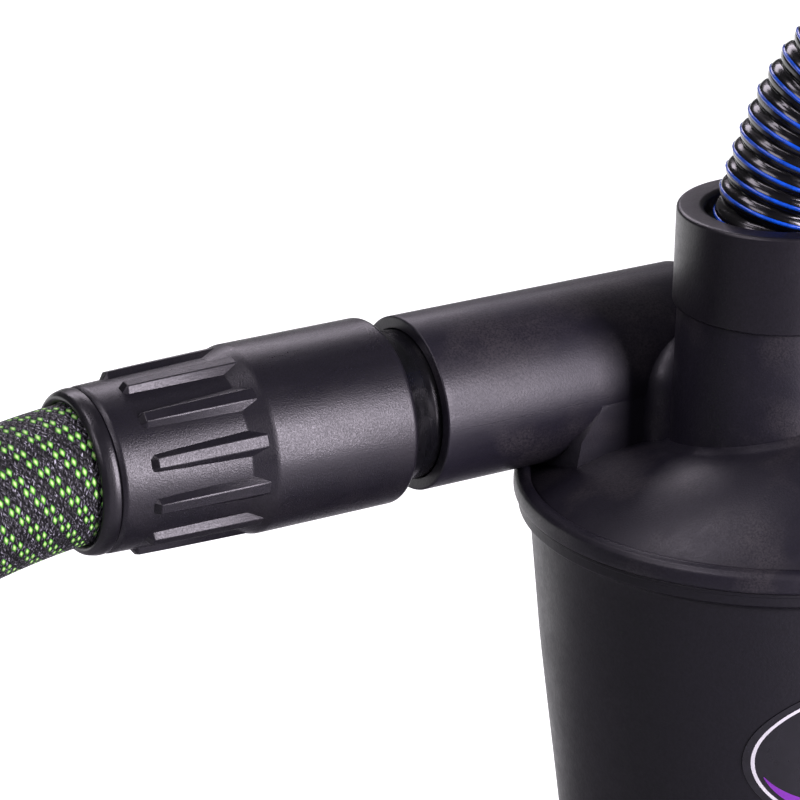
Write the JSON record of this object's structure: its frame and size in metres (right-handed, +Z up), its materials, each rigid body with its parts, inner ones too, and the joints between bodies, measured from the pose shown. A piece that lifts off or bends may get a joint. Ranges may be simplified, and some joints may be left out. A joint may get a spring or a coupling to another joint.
{
  "type": "cyclone dust collector",
  "caption": "Black moulded cyclone separator on a clamped collecting drum, with a swivelling braided suction hose at its inlet and a ribbed vacuum hose at its outlet.",
  "frame": {"origin": "centre of the drum's flat underside, on the floor", "axes": "+Z up the common axis of drum and cyclone; the inlet pipe and its hose cuff point along -X; -Y is the front, with the label"},
  "size_m": [0.7776, 0.6036, 0.8384],
  "materials": {
    "moulded_black": "satin, fine moulded grain",
    "cuff_black": "satin, spark-eroded grain",
    "spigot_gloss": "polished",
    "collar_black": "semi-gloss",
    "hose_braid": "woven polyester braid, black with green picks",
    "hose_ribbed": "gloss, bright blue tracer",
    "drum_plastic": "satin",
    "zinc_steel": "zinc plated",
    "seal_rubber": "matt",
    "label_film": "gloss laminate",
    "grip_plastic": "satin"
  },
  "bodies": {
    "collector": {"drum_body": "drum_plastic", "drum_lid": "drum_plastic", "lid_gasket": "seal_rubber", "clamp_ring": "zinc_steel", "clamp_bolt": "zinc_steel", "handle_brackets": "zinc_steel", "flange_gasket": "seal_rubber", "flange_bolts": "zinc_steel", "flange_washers": "zinc_steel", "flange_nuts": "zinc_steel", "cone_body": "moulded_black", "body_seal": "seal_rubber", "top_housing": "moulded_black", "helical_roof": "moulded_black", "vortex_finder": "moulded_black", "outlet_collar": "collar_black", "hose_seal": "seal_rubber", "inlet_seal": "seal_rubber", "label_plate": "label_film", "cuff_end_ring": "cuff_black", "hose_bush": "cuff_black", "suction_hose": "hose_braid", "suction_coil": "hose_braid", "tool_cuff_ring": "cuff_black", "tool_cuff_bush": "cuff_black", "vacuum_hose": "hose_ribbed", "vacuum_cuff_ring": "cuff_black", "vacuum_cuff_bush": "cuff_black"},
    "hose_cuff": {"cuff_spigot": "spigot_gloss", "cuff_sleeve": "cuff_black", "cuff_grip": "cuff_black"},
    "clamp_nut": {"wing_nut": "zinc_steel"},
    "left_handle": {"handle_wire_left": "zinc_steel", "handle_grip_left": "grip_plastic"},
    "right_handle": {"handle_wire_right": "zinc_steel", "handle_grip_right": "grip_plastic"},
    "tool_end": {"tool_cuff": "cuff_black"},
    "vacuum_end": {"vacuum_cuff": "cuff_black"}
  },
  "joints": [
    {"name": "cuff_swivel", "type": "hinge", "parent": "collector", "child": "hose_cuff", "pos_m": [-0.1105, 0.055, 0.6494], "axis": [1, 0, 0], "continuous": true},
    {"name": "clamp_nut_turn", "type": "hinge", "parent": "collector", "child": "clamp_nut", "pos_m": [0.018, -0.1915, 0.3485], "axis": [1, 0, 0], "continuous": true},
    {"name": "left_handle_swing", "type": "hinge", "parent": "collector", "child": "left_handle", "pos_m": [-0.172, 0, 0.3], "axis": [0, 1, 0], "range_deg": [0, 90]},
    {"name": "right_handle_swing", "type": "hinge", "parent": "collector", "child": "right_handle", "pos_m": [0.172, 0, 0.3], "axis": [0, -1, 0], "range_deg": [0, 90]},
    {"name": "tool_end_swivel", "type": "hinge", "parent": "collector", "child": "tool_end", "pos_m": [0.1896, 0.15909, 0.0742], "axis": [-0.6428, 0.766, 0], "continuous": true},
    {"name": "vacuum_end_swivel", "type": "hinge", "parent": "collector", "child": "vacuum_end", "pos_m": [0.246, 0.206, 0.029], "axis": [-0.6561, 0.7547, 0], "continuous": true}
  ]
}
